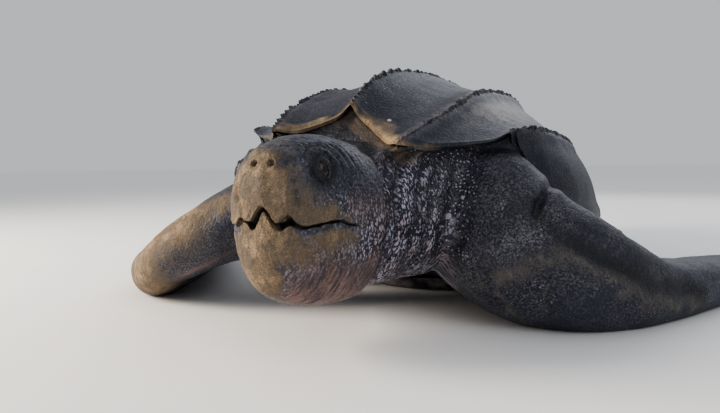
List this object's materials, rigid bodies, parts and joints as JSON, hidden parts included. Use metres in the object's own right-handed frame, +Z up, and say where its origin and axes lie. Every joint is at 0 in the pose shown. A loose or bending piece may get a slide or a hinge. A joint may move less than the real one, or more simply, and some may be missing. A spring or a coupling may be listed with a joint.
{
  "type": "leatherback sea turtle",
  "caption": "Life-size leatherback sea turtle resting on its belly, head forward, front flippers spread and swept back, ridged leathery shell.",
  "frame": {"origin": "on the floor, at the centre of the plastron's flat", "axes": "-Y towards the head, +X towards the animal's left, +Z up"},
  "size_m": [1.8363, 1.936, 0.4999],
  "materials": {
    "shell": "smooth leathery skin over bone, satin",
    "skin": "wrinkled blue-black skin with fine pale specks",
    "neck_skin": "wrinkled skin, densely spotted white and pink",
    "head_skin": "smooth blue-black skin, dusted with sand on the snout",
    "jaw_skin": "pinkish skin under a coat of sand",
    "belly": "pale mottled skin",
    "eye": "wet black"
  },
  "bodies": {
    "root": {"carapace": "shell", "trunk": "skin", "plastron": "belly", "head": "head_skin", "lower_jaw": "jaw_skin", "eye_left": "eye", "eye_right": "eye", "neck": "neck_skin", "shoulder_left": "skin", "shoulder_right": "skin", "front_flipper_left": "skin", "front_flipper_right": "skin", "rear_flipper_left": "skin", "rear_flipper_right": "skin", "tail": "skin"}
  },
  "joints": []
}
